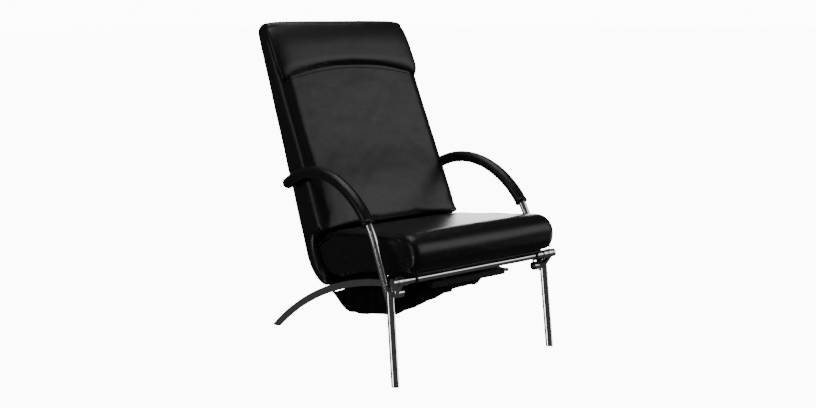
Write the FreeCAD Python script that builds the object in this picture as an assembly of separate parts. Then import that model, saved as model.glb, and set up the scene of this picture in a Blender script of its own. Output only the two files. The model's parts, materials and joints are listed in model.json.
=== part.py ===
import FreeCAD, Part
import math
import os

# A relax armchair: two bent-tube side frames carry a crossbar, and the padded seat hangs on it.
# The seat tilts about the crossbar, and the back reclines about a shaft at the rear of the seat.
#
# Lengths are in mm. Parts are laid out with Y = 0 at the front feet, the sitter facing -Y, the sitter's
# left at +X and the floor at Z = 0. On saving, everything moves forward by CENTRE_Y, which puts the
# origin on the floor under the middle of the chair. Points of a side view are (y, z).

CENTRE_Y = 427.5
LEFT = 1
RIGHT = -1
SIDES = {"left": LEFT, "right": RIGHT}

# Side frames
TUBE_R = 12.5
TUBE_BORE_R = 10.5
SIDE_X = 319.0
FRONT_FOOT_X = 325.0
LEG_TOP = (36.6, 292.0)
LEG_CAP = 4.0
GLIDE_HEIGHT = 4.0
GLIDE_PLUG_HEIGHT = 18.0
ARM_REAR = (654.0, 541.0)
ARM_REAR_SLOPE = 32.9
ARM_TOP_R = 400.0
ARM_KNEE_SLOPE = 37.0
ARM_KNEE_R = 275.0
ARM_FRONT_SLOPE = 65.0
ARM_FRONT_LENGTH = 175.0
REAR_LEG_START = (65.0, 314.0)
REAR_FOOT = (760.0, 0.0)
REAR_LEG_TURN = 29.0
REAR_LEG_SPARE_TURN = 1.5
PAD_HEIGHT = 3.0

# Leather arm sleeves
SLEEVE_R = 20.0
SLEEVE_KNEE_TURN = 13.7
CUFF_R = 21.5
CUFF_TURN = 2.4

# Crossbar and the lugs that carry it
BAR = (3.0, 328.0)
BAR_R = 11.0
BAR_HALF = 334.0
RUNNING_GAP = 0.05
BUSH_R = 13.0
LUG_BOSS_R = 15.5
LUG_X = (302.0, 316.0)
LUG_FOOT = (37.0, 282.0)
LUG_FOOT_X = (273.0, 316.0)
LUG_FOOT_R = 14.0
WASHER_R = 13.5
WASHER_THICKNESS = 4.2
WASHER_X = (297.5, 316.3, 321.0)
COLLAR_R = 14.5
COLLAR_X = (281.0, 297.0)
END_RING_R = 13.5
END_RING_X = (325.6, 334.0)
LUG_BOLT_R = 4.0
LUG_BOLT_HEAD_R = 6.5
LUG_BOLT_HEAD = 5.5
STOP_X = 279.0
STOP_Y = 42.0
STOP_R = 3.5
STOP_Z = (286.5, 324.0)
BUFFER_R = 5.0
BUFFER_HEIGHT = 4.5

# Seat: the board slopes down to the rear, and local points are (along the board, above its top)
SEAT_SLOPE = 8.7
BOARD_FRONT_Z = 366.0
BOARD_THICKNESS = 12.0
BOARD_SPAN = (-15.0, 392.0)
BOARD_HALF = 262.0
RAIL_X = (226.0, 246.0)
RAIL_SPAN = (20.0, 430.0)
RAIL_DEPTH = 25.0
MEMBER_DEPTH = 20.0
FRONT_MEMBER_SPAN = (45.0, 65.0)
REAR_MEMBER_SPAN = (190.0, 210.0)
PLATE_X = (246.0, 252.0)
HANGER_R = 15.0
CUSHION_HALF = 268.0
NOSE_HALF = 284.0
CUSHION_NOTCH_X = 244.0
CUSHION_NOTCH_Y = (395.0, 470.0)
CUSHION_NOTCH_Z = (270.0, 430.0)
CUSHION_FRONT_Y = -15.0
CUSHION_REAR_Y = 386.0
CUSHION_HEM = [(-17.0, 356.0), (-27.0, 353.0)]
CUSHION_NOSE = [((-47.0, 373.0), (-54.0, 403.0)), ((-38.0, 446.0), (8.0, 465.0))]
CUSHION_REAR = [(455.0, 397.0), (455.0, 377.0), (424.0, 371.0)]
NOSE_START = (-29.0, 354.5)
NOSE_BACK = [(52.0, 458.0), (52.0, 447.5), ((9.0, 438.5), (-5.0, 405.0))]
SIDE_PANEL_X = (270.0, 283.0)
SIDE_PANEL_START = (-27.0, 352.5)
SIDE_PANEL_TOP = [(-3.0, 404.0), ((11.0, 437.0), (52.0, 445.0)), (229.0, 428.0), (335.0, 411.0)]
SIDE_PANEL_REAR = [((440.0, 382.0), (515.0, 337.0)), (507.0, 325.0), ((489.0, 287.0), (460.0, 257.0))]
SIDE_PANEL_BOTTOM = [(440.0, 252.0), (368.0, 256.0), (264.0, 291.0), (161.0, 315.0)]
HANGER_TOP_Y = (10.0, 90.0)
HANGER_BELOW_BOARD = 14.0
HANGER_BOTTOM = [(90.0, 318.0), (20.0, 317.0)]
HINGE_PLATE_START = (370.0, 274.0)
HINGE_PLATE = [(425.0, 266.0), (463.0, 340.0), (450.0, 366.0), (436.0, 357.0), (396.0, 295.0), (370.0, 295.0)]

# Recline pivot and the back
PIVOT = (450.0, 350.0)
SHAFT_R = 10.0
SHAFT_BORE_R = 7.0
PLATE_EYE_R = 16.0
ARM_X = (252.3, 258.3)
SHAFT_NUT_X = 262.0
SHAFT_NUT_R = 13.0
BACK_SPLIT_FOOT = (513.0, 368.0)
BACK_SPLIT_RUN = 0.4986
BOARD_GAP = 9.0
WRAP_OUTER_R = 140.0
WRAP_INNER_R = 82.0
WRAP_LIP_INNER_R = 105.0
WRAP_LIP_ANGLE = 86.0
LIP_TIP_TURN = 4.0
BACK_LEAN = 23.2
BACK_HALF_LOW = 294.0
BACK_HALF_TOP = 287.0
BACK_CUSHION_INSET = 6.0
BACK_CUSHION_FOOT = (461.0, 397.0)
BACK_CUSHION_TOP = (725.0, 886.0)
BACK_CUSHION_REAR_Z = (380.0, 866.0)
BACK_TAPER_START_Z = 400.0
BACK_PLAN_Z = (150.0, 1110.0)
SHELL_FRONT_Z = (387.6, 1078.0)
SHELL_REAR_TOP_Z = 1066.0
SHELL_TOP_Z = (1083.0, 1087.0)
SHELL_TOP_REACH = (10.0, 14.0)
SHELL_INNER_ANGLES = (10.0, 40.0)
SHELL_LIP_START = (97.0, 62.0)
SHELL_OUTER_ANGLE = 55.0
BACK_BOARD_HALF = 250.0
BACK_BOARD_Z = (402.0, 1040.0)
BACK_BOARD_CLEARANCE = 1.0
ARM_POCKET_TOP = 620.0
ARM_POCKET_FOOT = [(450.0, 330.0), (522.0, 340.0)]
ARM_POCKET_FRONT = [(490.0, 412.0), (450.0, 380.0)]
ARM_POCKET_DEPTH = 34.0
ARM_POCKET_CLEARANCE = 4.0
SHELL_POCKET_Y = (450.0, 470.0)
SHELL_POCKET_Z = (330.0, 380.0)
RECLINE_ARM_FOOT = [(455.0, 335.0), (500.0, 352.0), (519.0, 386.0)]
RECLINE_ARM_FRONT = [(496.0, 408.0), (446.0, 365.0)]
RECLINE_ARM_TOP_Z = 600.0
RECLINE_ARM_BEHIND = (2.0, 30.0)
PILLOW_FOOT = (728.0, 890.0)
PILLOW_FRONT = ((749.0, 985.0), (812.0, 1084.0))
PILLOW_TOP_MIDDLE = (838.0, 1091.0)
PILLOW_REAR_Z = (871.0, 1046.0, 1080.0)
PILLOW_TOP_GAP = 3.0
TAB_X = (281.0, 283.0)
TAB_Y = (565.0, 596.0)
TAB_Z = (292.0, 316.0)

# Gas spring that holds the back, worked by a crank on the recline shaft
CRANK_LENGTH = 120.0
CRANK_ANGLE = 100.0
CRANK_HALF = 5.0
CRANK_END_R = 10.0
CRANK_PIN_R = 4.0
CRANK_PIN_HALF = 16.0
RECLINE_TRAVEL = 20.0
SPRING_Z = 236.0
CYLINDER_R = 14.0
CYLINDER_Y = (158.0, 340.0)
CYLINDER_END = 10.0
ROD_R = 5.0
ROD_Y = (212.0, 400.0)
FORK_BRIDGE = 12.0
FORK_X = (7.0, 12.0)
FORK_LENGTH = 34.0
FORK_SLOT_GAP = 1.2
FORK_SLOT_SPARE = 1.5
FORK_HALF_HEIGHT = 8.0
FORK_CHEEK_SPARE = 5.0

# Release mechanism under the front of the seat
HOUSING_X = (-150.0, 154.0)
HOUSING_Y = (45.0, 75.0)
HOUSING_Z = (272.0, 292.0)
HOUSING_WALL = 2.5
HOUSING_END_SPARE = 6.0
POST_X = 100.0
POST_HALF = 8.0
POST_Y = (50.0, 62.0)
POST_TOP_Z = 336.0
BRACKET_TOP_Z = 316.0
VALVE_HALF = 31.0
VALVE_Y = (171.0, 215.0)
VALVE_Z = (202.0, 232.0)
LEVER_AXIS = (60.0, 282.0)
LEVER_SHAFT_R = 4.0
LEVER_SHAFT_X = (146.0, 158.0)
LEVER_BORE_SPARE = 4.0
LEVER_HALF_THICKNESS = 3.0
LEVER_CORNERS = [(158.0, 44.0), (168.0, 44.0), (181.0, 56.0), (181.0, 63.0), (168.0, 74.0), (158.0, 74.0)]
CABLE_R = 2.5
CABLE_X = 20.0
CABLE_START_RISE = 10.0
CABLE_END_RISE = 12.0

# Dust cover
COVER_THICKNESS = 3.0
COVER_TOP_DROP = 38.0
COVER_Y = (80.0, 398.0)
COVER_HALF_FRONT = 160.0
COVER_HALF_REAR = 255.0
COVER_FULL_WIDTH_Y = 300.0
COVER_BELLY = [(80.0, 256.0), (130.0, 222.0), ((205.0, 172.0), (300.0, 146.0))]
COVER_REAR_R = 146.0
COVER_REAR_MIDDLE = (390.0, 158.0)
COVER_REAR_ANGLES = (88.0, 100.0, 111.0)
COVER_PLAN_SPARE = 50.0
COVER_SLOT_HALF = 60.0
COVER_SLOT_Y = (378.0, 408.0)
COVER_SLOT_BELOW = 14.0

CUT_REACH = 400.0


def vec(x, point):
    """A 3D point from its x and its (y, z)."""
    return FreeCAD.Vector(x, point[0], point[1])


def polar(centre, radius, angle_below_rear):
    """The (y, z) point at a radius, its angle measured from the rear horizontal downwards."""
    angle = math.radians(angle_below_rear)
    return (centre[0] + radius * math.cos(angle), centre[1] - radius * math.sin(angle))


def side_wire(start, steps):
    """A closed side-view wire at x = 0. A step is a point, or a (middle, end) pair for an arc."""
    edges = []
    here = vec(0, start)
    for step in steps:
        if isinstance(step[0], tuple):
            there = vec(0, step[1])
            edges.append(Part.Arc(here, vec(0, step[0]), there).toShape())
        else:
            there = vec(0, step)
            edges.append(Part.LineSegment(here, there).toShape())
        here = there
    edges.append(Part.LineSegment(here, vec(0, start)).toShape())
    return Part.Wire(edges)


def prism(wire, x_range):
    """A side-view wire made solid between two x values."""
    low, high = sorted(x_range)
    face = Part.Face(wire)
    face.translate(FreeCAD.Vector(low, 0, 0))
    return face.extrude(FreeCAD.Vector(high - low, 0, 0))


def slab(start, steps, x_range):
    return prism(side_wire(start, steps), x_range)


def sided(side, x_range):
    """An x range given for the left side, put on the wanted side."""
    return (side * x_range[0], side * x_range[1])


def box(x_range, y_range, z_range):
    low_x, high_x = sorted(x_range)
    corner = FreeCAD.Vector(low_x, y_range[0], z_range[0])
    return Part.makeBox(high_x - low_x, y_range[1] - y_range[0], z_range[1] - z_range[0], corner)


def cross_rod(centre, radius, x_range):
    """A round bar along X."""
    low, high = sorted(x_range)
    return Part.makeCylinder(radius, high - low, vec(low, centre), FreeCAD.Vector(1, 0, 0))


def ring(centre, radius, bore_radius, x_range):
    return cross_rod(centre, radius, x_range).cut(cross_rod(centre, bore_radius, x_range))


def upright_rod(x, y, radius, z_range):
    base = FreeCAD.Vector(x, y, z_range[0])
    return Part.makeCylinder(radius, z_range[1] - z_range[0], base, FreeCAD.Vector(0, 0, 1))


def along_rod(x, z, radius, y_range):
    """A round bar along Y."""
    base = FreeCAD.Vector(x, y_range[0], z)
    return Part.makeCylinder(radius, y_range[1] - y_range[0], base, FreeCAD.Vector(0, 1, 0))


def hexagon(centre, radius, x_range):
    corners = [polar(centre, radius, 60 * number) for number in range(6)]
    return slab(corners[0], corners[1:], x_range)


def joined(first, others):
    """One clean solid from touching or overlapping ones."""
    return first.fuse(others).removeSplitter().Solids[0]


def bent_rod(start, heading, steps, x, radius):
    """A round bar in a side plane. A step is a length, or a (radius, turn in degrees) pair."""
    here = start
    pieces = []
    for step in steps:
        angle = math.radians(heading)
        forward = (math.cos(angle), math.sin(angle))
        direction = vec(0, forward)
        if isinstance(step, tuple):
            bend, turn = step
            hand = math.copysign(1, turn)
            centre = (here[0] - hand * bend * forward[1], here[1] + hand * bend * forward[0])
            disc = Part.Face(Part.Wire(Part.makeCircle(radius, vec(x, here), direction)))
            pieces.append(disc.revolve(vec(x, centre), FreeCAD.Vector(1, 0, 0), turn))
            heading += turn
            turned = math.radians(heading)
            here = (centre[0] + hand * bend * math.sin(turned), centre[1] - hand * bend * math.cos(turned))
        else:
            pieces.append(Part.makeCylinder(radius, step, vec(x, here), direction))
            here = (here[0] + step * forward[0], here[1] + step * forward[1])
    if len(pieces) == 1:
        return pieces[0]
    return joined(pieces[0], pieces[1:])


def on_board(x_range, span, heights):
    """A box in the board's own slope."""
    shape = box(x_range, span, heights)
    shape.rotate(FreeCAD.Vector(0, 0, 0), FreeCAD.Vector(1, 0, 0), -SEAT_SLOPE)
    shape.translate(FreeCAD.Vector(0, 0, BOARD_FRONT_Z))
    return shape


def board_z(y):
    """Height of the board's top at y."""
    return BOARD_FRONT_Z - math.tan(math.radians(SEAT_SLOPE)) * y


def split_y(z, forward=0.0):
    """Where the back shell's front face is at height z, less a distance forward."""
    return BACK_SPLIT_FOOT[0] + BACK_SPLIT_RUN * (z - BACK_SPLIT_FOOT[1]) - forward


# Side frames


def leg_rod(side, radius, top_drop=0.0):
    """The front leg's straight line, running on a little below the floor."""
    foot = FreeCAD.Vector(side * FRONT_FOOT_X, 0, 0)
    top = vec(side * SIDE_X, LEG_TOP)
    line = (top - foot).normalize()
    start = foot - line * TUBE_R
    return Part.makeCylinder(radius, (top - start).Length - top_drop, start, line)


def below(height):
    """Everything under a height, used to cut tube ends flat."""
    reach = CUT_REACH + REAR_FOOT[0]
    return box((-reach, reach), (-reach, reach), (-reach, height))


def arm_rod(side, radius):
    turns = ARM_REAR_SLOPE + ARM_KNEE_SLOPE
    steps = [(ARM_TOP_R, turns), (ARM_KNEE_R, ARM_FRONT_SLOPE - ARM_KNEE_SLOPE), ARM_FRONT_LENGTH]
    return bent_rod(ARM_REAR, 180 - ARM_REAR_SLOPE, steps, side * SIDE_X, radius)


def rear_leg_rod(side, radius):
    run = REAR_FOOT[0] - REAR_LEG_START[0]
    drop = REAR_LEG_START[1] - REAR_FOOT[1]
    chord_slope = math.degrees(math.atan2(drop, run))
    bend = math.hypot(run, drop) / 2 / math.sin(math.radians(REAR_LEG_TURN / 2))
    turn = -(REAR_LEG_TURN + REAR_LEG_SPARE_TURN)
    heading = -(chord_slope - REAR_LEG_TURN / 2)
    return bent_rod(REAR_LEG_START, heading, [(bend, turn)], side * SIDE_X, radius)


def lug_bolt(side):
    shank = cross_rod(LUG_FOOT, LUG_BOLT_R, sided(side, LUG_FOOT_X))
    head_x = (LUG_FOOT_X[0] - LUG_BOLT_HEAD, LUG_FOOT_X[0])
    head = hexagon(LUG_FOOT, LUG_BOLT_HEAD_R, sided(side, head_x))
    return joined(shank, [head])


def front_leg(side):
    tube = leg_rod(side, TUBE_R).cut(leg_rod(side, TUBE_BORE_R, LEG_CAP))
    return tube.cut(below(GLIDE_HEIGHT)).cut(lug_bolt(side)).Solids[0]


def front_glide(side):
    plug = leg_rod(side, TUBE_BORE_R).cut(below(GLIDE_HEIGHT))
    plug = plug.common(below(GLIDE_PLUG_HEIGHT))
    disc = leg_rod(side, TUBE_R).cut(below(0)).common(below(GLIDE_HEIGHT))
    return joined(disc, [plug])


def arm_tube(side):
    tube = arm_rod(side, TUBE_R).cut(arm_rod(side, TUBE_BORE_R))
    return tube.cut(leg_rod(side, TUBE_R)).Solids[0]


def rear_leg(side):
    tube = rear_leg_rod(side, TUBE_R).cut(rear_leg_rod(side, TUBE_BORE_R))
    tube = tube.cut(below(PAD_HEIGHT)).cut(arm_rod(side, TUBE_R))
    return max(tube.cut(leg_rod(side, TUBE_R)).Solids, key=lambda solid: solid.Volume)


def rear_pad(side):
    return rear_leg_rod(side, TUBE_R).cut(below(0)).common(below(PAD_HEIGHT)).Solids[0]


def arm_sleeve(side):
    x = side * SIDE_X
    turns = ARM_REAR_SLOPE + ARM_KNEE_SLOPE
    heading = 180 - ARM_REAR_SLOPE
    cover = bent_rod(ARM_REAR, heading, [(ARM_TOP_R, turns), (ARM_KNEE_R, SLEEVE_KNEE_TURN)], x, SLEEVE_R)
    end_angle = math.radians(ARM_KNEE_SLOPE + SLEEVE_KNEE_TURN - CUFF_TURN)
    knee_centre_y = ARM_REAR[0] - ARM_TOP_R * math.sin(math.radians(ARM_REAR_SLOPE))
    knee_centre_y -= (ARM_TOP_R - ARM_KNEE_R) * math.sin(math.radians(ARM_KNEE_SLOPE))
    knee_centre_z = ARM_REAR[1] - ARM_TOP_R * math.cos(math.radians(ARM_REAR_SLOPE))
    knee_centre_z += (ARM_TOP_R - ARM_KNEE_R) * math.cos(math.radians(ARM_KNEE_SLOPE))
    cuff_y = knee_centre_y - ARM_KNEE_R * math.sin(end_angle)
    cuff_z = knee_centre_z + ARM_KNEE_R * math.cos(end_angle)
    cuff_heading = 180 + ARM_KNEE_SLOPE + SLEEVE_KNEE_TURN - CUFF_TURN
    cuff = bent_rod((cuff_y, cuff_z), cuff_heading, [(ARM_KNEE_R, CUFF_TURN)], x, CUFF_R)
    end = Part.makeSphere(SLEEVE_R, vec(x, ARM_REAR))
    whole = joined(cover, [cuff, end])
    return max(whole.cut(arm_rod(side, TUBE_R)).Solids, key=lambda solid: solid.Volume)


# Lugs, bearings and stops on the frame


def stop_screw(side):
    return upright_rod(side * STOP_X, STOP_Y, STOP_R, STOP_Z)


def stop_buffer(side):
    top = STOP_Z[1]
    return upright_rod(side * STOP_X, STOP_Y, BUFFER_R, (top, top + BUFFER_HEIGHT))


def pivot_lug(side):
    run = LUG_FOOT[0] - BAR[0]
    rise = LUG_FOOT[1] - BAR[1]
    length = math.hypot(run, rise)
    normal = (-rise / length * LUG_BOSS_R, run / length * LUG_BOSS_R)
    web = slab(
        (BAR[0] + normal[0], BAR[1] + normal[1]),
        [
            (LUG_FOOT[0] + normal[0], LUG_FOOT[1] + normal[1]),
            (LUG_FOOT[0] - normal[0], LUG_FOOT[1] - normal[1]),
            (BAR[0] - normal[0], BAR[1] - normal[1]),
        ],
        sided(side, LUG_X),
    )
    boss = cross_rod(BAR, LUG_BOSS_R, sided(side, LUG_X))
    foot = cross_rod(LUG_FOOT, LUG_FOOT_R, sided(side, LUG_FOOT_X))
    lug = joined(web, [boss, foot])
    bush_seat = cross_rod(BAR, BUSH_R, sided(side, LUG_X))
    for hole in (bush_seat, lug_bolt(side), stop_screw(side), arm_rod(side, TUBE_R)):
        lug = lug.cut(hole)
    return max(lug.cut(leg_rod(side, TUBE_R)).Solids, key=lambda solid: solid.Volume)


def bearing_bush(side):
    return ring(BAR, BUSH_R, BAR_R + RUNNING_GAP, sided(side, LUG_X))


def washers(side):
    stack = []
    for inner in WASHER_X:
        x_range = sided(side, (inner, inner + WASHER_THICKNESS))
        stack.append(ring(BAR, WASHER_R, BAR_R + RUNNING_GAP, x_range))
    return stack


# Seat


def crossbar():
    return cross_rod(BAR, BAR_R, (-BAR_HALF, BAR_HALF))


def bar_collar(side):
    return ring(BAR, COLLAR_R, BAR_R, sided(side, COLLAR_X))


def bar_end_ring(side):
    return ring(BAR, END_RING_R, BAR_R, sided(side, END_RING_X))


def seat_board():
    return on_board((-BOARD_HALF, BOARD_HALF), BOARD_SPAN, (-BOARD_THICKNESS, 0))


def seat_rail(side):
    return on_board(sided(side, RAIL_X), RAIL_SPAN, (-BOARD_THICKNESS - RAIL_DEPTH, -BOARD_THICKNESS))


def cross_member(span):
    heights = (-BOARD_THICKNESS - MEMBER_DEPTH, -BOARD_THICKNESS)
    return on_board((-RAIL_X[0], RAIL_X[0]), span, heights)


def hanger(side):
    """The plate that joins a rail to the crossbar."""
    x_range = sided(side, PLATE_X)
    front = BAR[0]
    top = [(y, board_z(y) - HANGER_BELOW_BOARD) for y in HANGER_TOP_Y]
    steps = top + HANGER_BOTTOM + [(front, BAR[1] - HANGER_R)]
    plate = slab((front, BAR[1] + HANGER_R), steps, x_range)
    whole = joined(plate, [cross_rod(BAR, HANGER_R, x_range)])
    return whole.cut(crossbar())


def hinge_plate(side):
    """The plate that carries the recline shaft behind a rail."""
    x_range = sided(side, PLATE_X)
    plate = slab(HINGE_PLATE_START, HINGE_PLATE, x_range)
    eye = cross_rod(PIVOT, PLATE_EYE_R, x_range)
    bore = cross_rod(PIVOT, SHAFT_R + RUNNING_GAP, x_range)
    return joined(plate, [eye]).cut(bore)


def seat_cushion():
    """The foam over the board, with a wider nose that runs across the whole front."""
    front = (CUSHION_FRONT_Y, board_z(CUSHION_FRONT_Y))
    rear = (CUSHION_REAR_Y, board_z(CUSHION_REAR_Y))
    steps = [front] + CUSHION_HEM + CUSHION_NOSE + CUSHION_REAR
    body = slab(rear, steps, (-CUSHION_HALF, CUSHION_HALF))
    nose = slab(NOSE_START, CUSHION_NOSE + NOSE_BACK, (-NOSE_HALF, NOSE_HALF))
    body = joined(body, [nose])
    for side in SIDES.values():
        notch = sided(side, (CUSHION_NOTCH_X, CUSHION_HALF + 1))
        body = body.cut(box(notch, CUSHION_NOTCH_Y, CUSHION_NOTCH_Z))
    return body


def side_panel(side):
    steps = SIDE_PANEL_TOP + SIDE_PANEL_REAR + SIDE_PANEL_BOTTOM
    return slab(SIDE_PANEL_START, steps, sided(side, SIDE_PANEL_X))


# Gas spring and release mechanism


def gas_cylinder():
    body = along_rod(0, SPRING_Z, CYLINDER_R, CYLINDER_Y)
    bore = along_rod(0, SPRING_Z, ROD_R + RUNNING_GAP, (CYLINDER_Y[0] + CYLINDER_END, CYLINDER_Y[1]))
    return body.cut(bore)


def whole_cylinder():
    return along_rod(0, SPRING_Z, CYLINDER_R, CYLINDER_Y)


def valve_block():
    return box((-VALVE_HALF, VALVE_HALF), VALVE_Y, VALVE_Z).cut(whole_cylinder())


def spring_bracket():
    post = box((-POST_HALF, POST_HALF), REAR_MEMBER_SPAN, (SPRING_Z, BRACKET_TOP_Z))
    post = post.cut(whole_cylinder()).cut(cross_member(REAR_MEMBER_SPAN))
    return min(post.Solids, key=lambda solid: solid.CenterOfMass.z)


def lever_bore():
    x_range = (LEVER_SHAFT_X[0] - LEVER_BORE_SPARE, HOUSING_X[1] + 1)
    return cross_rod(LEVER_AXIS, LEVER_SHAFT_R + RUNNING_GAP, x_range)


def mechanism_housing():
    """A box with its end walls thick enough to carry the lever's shaft."""
    wall = HOUSING_WALL
    end = HOUSING_X[1] - LEVER_SHAFT_X[0] + HOUSING_END_SPARE
    body = box(HOUSING_X, HOUSING_Y, HOUSING_Z)
    hollow = box(
        (HOUSING_X[0] + end, HOUSING_X[1] - end),
        (HOUSING_Y[0] + wall, HOUSING_Y[1] - wall),
        (HOUSING_Z[0] + wall, HOUSING_Z[1] - wall),
    )
    return body.cut(hollow).cut(lever_bore())


def housing_post(side):
    x_range = (side * POST_X - POST_HALF, side * POST_X + POST_HALF)
    post = box(x_range, POST_Y, (HOUSING_Z[1], POST_TOP_Z))
    return min(post.cut(cross_member(FRONT_MEMBER_SPAN)).Solids, key=lambda solid: solid.CenterOfMass.z)


def release_cable():
    """The cable's sheath, held tight between the housing and the valve block."""
    start = FreeCAD.Vector(CABLE_X, HOUSING_Y[1], HOUSING_Z[0] + CABLE_START_RISE)
    end = FreeCAD.Vector(CABLE_X, VALVE_Y[0], VALVE_Z[0] + CABLE_END_RISE)
    line = end - start
    spare = line.normalize() * (4 * CABLE_R)
    sheath = Part.makeCylinder(CABLE_R, (end - start).Length + 2 * spare.Length, start - spare, spare)
    sheath = sheath.cut(box(HOUSING_X, HOUSING_Y, HOUSING_Z))
    return sheath.cut(box((-VALVE_HALF, VALVE_HALF), VALVE_Y, VALVE_Z)).Solids[0]


def lever_shaft():
    return cross_rod(LEVER_AXIS, LEVER_SHAFT_R, LEVER_SHAFT_X)


def release_lever():
    """A flat paddle that narrows to a blunt point at the sitter's left."""
    points = [FreeCAD.Vector(x, y, LEVER_AXIS[1] - LEVER_HALF_THICKNESS) for x, y in LEVER_CORNERS]
    face = Part.Face(Part.makePolygon(points + points[:1]))
    return face.extrude(FreeCAD.Vector(0, 0, 2 * LEVER_HALF_THICKNESS))


def gas_rod():
    return along_rod(0, SPRING_Z, ROD_R, ROD_Y)


def crank_end(angle=CRANK_ANGLE):
    return polar(PIVOT, CRANK_LENGTH, angle)


def rod_fork():
    """The slotted fork that the crank's pin works in."""
    front = ROD_Y[1]
    rear = front + FORK_BRIDGE
    bridge_heights = (SPRING_Z - FORK_HALF_HEIGHT, SPRING_Z + FORK_HALF_HEIGHT)
    bridge = box((-FORK_X[1], FORK_X[1]), (front, rear), bridge_heights)
    low_pin = crank_end()
    high_pin = crank_end(CRANK_ANGLE + RECLINE_TRAVEL)
    spare = CRANK_PIN_R + FORK_SLOT_SPARE
    heights = (low_pin[1] - spare, high_pin[1] + spare)
    cheek_heights = (heights[0] - FORK_CHEEK_SPARE, heights[1] + FORK_CHEEK_SPARE)
    cheeks = [box(sided(side, FORK_X), (rear, rear + FORK_LENGTH), cheek_heights) for side in SIDES.values()]
    half_slot = CRANK_PIN_R + FORK_SLOT_GAP
    slot = box((-CABLE_X, CABLE_X), (low_pin[0] - half_slot, low_pin[0] + half_slot), heights)
    return joined(bridge, cheeks).cut(slot)


# Dust cover


def cover_plan(x_inset):
    """The cover's outline from above, as a tall prism, with its sides moved in."""
    front = COVER_HALF_FRONT - x_inset
    rear = COVER_HALF_REAR - x_inset
    corners = [
        (-front, COVER_Y[0] - COVER_PLAN_SPARE),
        (front, COVER_Y[0] - COVER_PLAN_SPARE),
        (front, COVER_Y[0]),
        (rear, COVER_FULL_WIDTH_Y),
        (rear, PIVOT[0] + COVER_PLAN_SPARE),
        (-rear, PIVOT[0] + COVER_PLAN_SPARE),
        (-rear, COVER_FULL_WIDTH_Y),
        (-front, COVER_Y[0]),
    ]
    points = [FreeCAD.Vector(x, y, 0) for x, y in corners]
    return Part.Face(Part.makePolygon(points + points[:1])).extrude(FreeCAD.Vector(0, 0, CUT_REACH))


def dust_cover():
    """A thin lining hung under the seat, open at its top and slotted for the crank."""
    rear, middle, front = (polar(PIVOT, COVER_REAR_R, angle) for angle in COVER_REAR_ANGLES)
    hem_z = board_z(COVER_Y[0]) - COVER_TOP_DROP
    rear_hem_z = board_z(COVER_Y[1]) - COVER_TOP_DROP
    back = [(COVER_REAR_MIDDLE, rear), (middle, front), (COVER_Y[1], rear_hem_z)]
    wire = side_wire((COVER_Y[0], hem_z), COVER_BELLY + back)
    outer = prism(wire, (-COVER_HALF_REAR, COVER_HALF_REAR)).common(cover_plan(0))
    inner_wire = wire.makeOffset2D(-COVER_THICKNESS)
    inner = prism(inner_wire, (-COVER_HALF_REAR, COVER_HALF_REAR)).common(cover_plan(COVER_THICKNESS))
    lifted = inner.copy()
    lifted.translate(FreeCAD.Vector(0, 0, 2 * COVER_THICKNESS))
    slot_z = (crank_end()[1] - COVER_SLOT_BELOW, PIVOT[1])
    crank_slot = box((-COVER_SLOT_HALF, COVER_SLOT_HALF), COVER_SLOT_Y, slot_z)
    cover = outer.cut(inner).cut(lifted).cut(crank_slot)
    for piece in (valve_block(), release_cable(), whole_cylinder()):
        cover = cover.cut(piece)
    return max(cover.Solids, key=lambda solid: solid.Volume)


# Back


def recline_shaft():
    half = ARM_X[1]
    return ring(PIVOT, SHAFT_R, SHAFT_BORE_R, (-half, half))


def shaft_nut(side):
    return hexagon(PIVOT, SHAFT_NUT_R, sided(side, (ARM_X[1], SHAFT_NUT_X)))


def recline_crank():
    end = crank_end()
    run = end[0] - PIVOT[0]
    rise = end[1] - PIVOT[1]
    across = (-rise / CRANK_LENGTH, run / CRANK_LENGTH)
    x_range = (-CRANK_HALF, CRANK_HALF)
    web = slab(
        (PIVOT[0] + across[0] * CRANK_END_R, PIVOT[1] + across[1] * CRANK_END_R),
        [
            (end[0] + across[0] * CRANK_END_R, end[1] + across[1] * CRANK_END_R),
            (end[0] - across[0] * CRANK_END_R, end[1] - across[1] * CRANK_END_R),
            (PIVOT[0] - across[0] * CRANK_END_R, PIVOT[1] - across[1] * CRANK_END_R),
        ],
        x_range,
    )
    plate = joined(web, [cross_rod(PIVOT, PLATE_EYE_R, x_range), cross_rod(end, CRANK_END_R, x_range)])
    return plate.cut(cross_rod(PIVOT, SHAFT_R, x_range)).cut(cross_rod(end, CRANK_PIN_R, x_range))


def crank_pin():
    return cross_rod(crank_end(), CRANK_PIN_R, (-CRANK_PIN_HALF, CRANK_PIN_HALF))


def recline_arm(side):
    """The plate that joins the back's board to the recline shaft."""
    x_range = sided(side, ARM_X)
    top_z = RECLINE_ARM_TOP_Z
    top = [(split_y(top_z, behind), top_z) for behind in RECLINE_ARM_BEHIND]
    plate = slab(RECLINE_ARM_FOOT[0], RECLINE_ARM_FOOT[1:] + top + RECLINE_ARM_FRONT, x_range)
    whole = joined(plate, [cross_rod(PIVOT, PLATE_EYE_R, x_range)])
    return whole.cut(cross_rod(PIVOT, SHAFT_R, x_range))


def back_board():
    low, high = BACK_BOARD_Z
    rear = [(split_y(z, BACK_BOARD_CLEARANCE), z) for z in (low, high)]
    front = [(split_y(z, BOARD_GAP), z) for z in (high, low)]
    return slab(rear[0], rear[1:] + front, (-BACK_BOARD_HALF, BACK_BOARD_HALF))


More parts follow.
